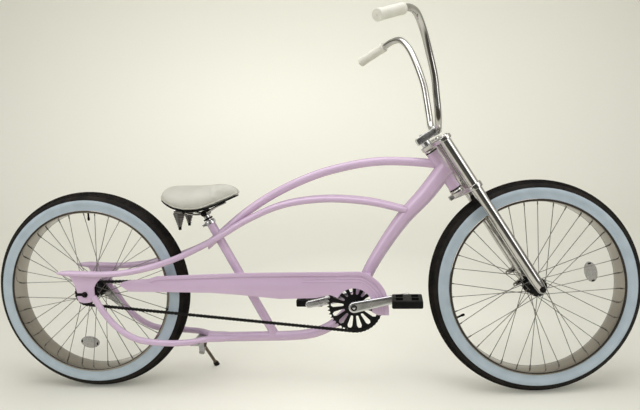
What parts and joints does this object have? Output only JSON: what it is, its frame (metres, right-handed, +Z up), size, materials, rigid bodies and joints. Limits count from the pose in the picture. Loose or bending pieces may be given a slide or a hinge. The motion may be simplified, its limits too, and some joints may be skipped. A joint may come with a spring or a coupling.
{
  "type": "chopper bicycle",
  "caption": "Stretched chopper bicycle with a long arched frame, triple-clamp fork, tall swept handlebar, fat tyres, full chain guard and side stand.",
  "frame": {"origin": "centre of the bounding box at ground level, with both tyres and the side stand's foot on z = 0", "axes": "+X forward along the bicycle, +Y to the rider's left, +Z up; the bicycle leans 5 degrees towards +Y on its side stand"},
  "size_m": [2.215, 0.706, 1.2455],
  "materials": {
    "frame_paint": "gloss",
    "black_metal": "gloss",
    "chrome": "polished",
    "alloy": "satin",
    "tyre_rubber": "matte",
    "grip_rubber": "matte",
    "saddle_cover": "satin",
    "black_plastic": "matte",
    "steel": "satin",
    "rim_metal": "satin"
  },
  "bodies": {
    "frame": {"head_tube": "frame_paint", "headset_lower": "black_metal", "headset_upper": "black_metal", "top_tube": "frame_paint", "down_tube": "frame_paint", "lower_tube": "frame_paint", "seat_tube": "frame_paint", "bottom_bracket": "frame_paint", "rail_right": "frame_paint", "rail_left": "frame_paint", "lower_stay_right": "frame_paint", "lower_stay_left": "frame_paint", "dropout_right": "frame_paint", "dropout_left": "frame_paint", "rear_axle": "black_metal", "brake_arm": "black_metal", "chain": "black_metal", "chain_guard": "frame_paint", "saddle": "saddle_cover", "saddle_pan": "black_plastic", "saddle_frame": "chrome", "seat_post": "alloy", "seat_collar": "black_metal", "stand_bracket": "steel"},
    "fork": {"fork_leg_right": "chrome", "fork_leg_left": "chrome", "lower_crown": "chrome", "upper_crown": "chrome", "front_axle": "black_metal", "stem": "chrome", "handlebar": "chrome", "grip_right": "grip_rubber", "grip_left": "grip_rubber"},
    "front_wheel": {"front_tyre": "tyre_rubber", "front_rim": "rim_metal", "front_hub": "black_metal"},
    "rear_wheel": {"rear_tyre": "tyre_rubber", "rear_rim": "rim_metal", "rear_hub": "black_metal"},
    "sprocket": {"sprocket": "black_metal"},
    "crank": {"crank_spindle": "alloy", "crank_arm_right": "alloy", "crank_arm_left": "alloy", "chainring": "black_metal"},
    "pedal_right": {"pedal_right": "black_plastic"},
    "pedal_left": {"pedal_left": "black_plastic"},
    "side_stand": {"side_stand": "steel"}
  },
  "joints": [
    {"name": "steering", "type": "hinge", "parent": "frame", "child": "fork", "pos_m": [0.72136, -0.07698, 0.32367], "axis": [-0.5215, 0.0743, 0.85], "range_deg": [-67.2, 52.8]},
    {"name": "front_wheel_spin", "type": "hinge", "parent": "fork", "child": "front_wheel", "pos_m": [0.75945, -0.06933, 0.34637], "axis": [-0.107, 0.9826, -0.1516], "continuous": true},
    {"name": "rear_wheel_spin", "type": "hinge", "parent": "frame", "child": "rear_wheel", "pos_m": [-0.75824, -0.07493, 0.34881], "axis": [-0.0001, 0.9962, -0.0872], "continuous": true},
    {"name": "crank_spin", "type": "hinge", "parent": "frame", "child": "crank", "pos_m": [0.1687, -0.07902, 0.30091], "axis": [-0.0001, 0.9962, -0.0872], "continuous": true},
    {"name": "sprocket_spin", "type": "hinge", "parent": "frame", "child": "sprocket", "pos_m": [-0.75824, -0.07493, 0.34881], "axis": [-0.0001, 0.9962, -0.0872], "continuous": true},
    {"name": "pedal_right_spin", "type": "hinge", "parent": "crank", "child": "pedal_right", "pos_m": [0.34023, -0.07598, 0.33547], "axis": [-0.0001, 0.9962, -0.0872], "continuous": true},
    {"name": "pedal_left_spin", "type": "hinge", "parent": "crank", "child": "pedal_left", "pos_m": [-0.00282, -0.08207, 0.26635], "axis": [-0.0001, 0.9962, -0.0872], "continuous": true},
    {"name": "side_stand_swing", "type": "hinge", "parent": "frame", "child": "side_stand", "pos_m": [-0.38448, -0.05572, 0.13187], "axis": [0.015, 0.7655, 0.6433], "range_deg": [0, 81.6]}
  ],
  "couplings": [
    {"joint": "sprocket_spin", "follows": "crank_spin", "ratio": 2.2}
  ]
}
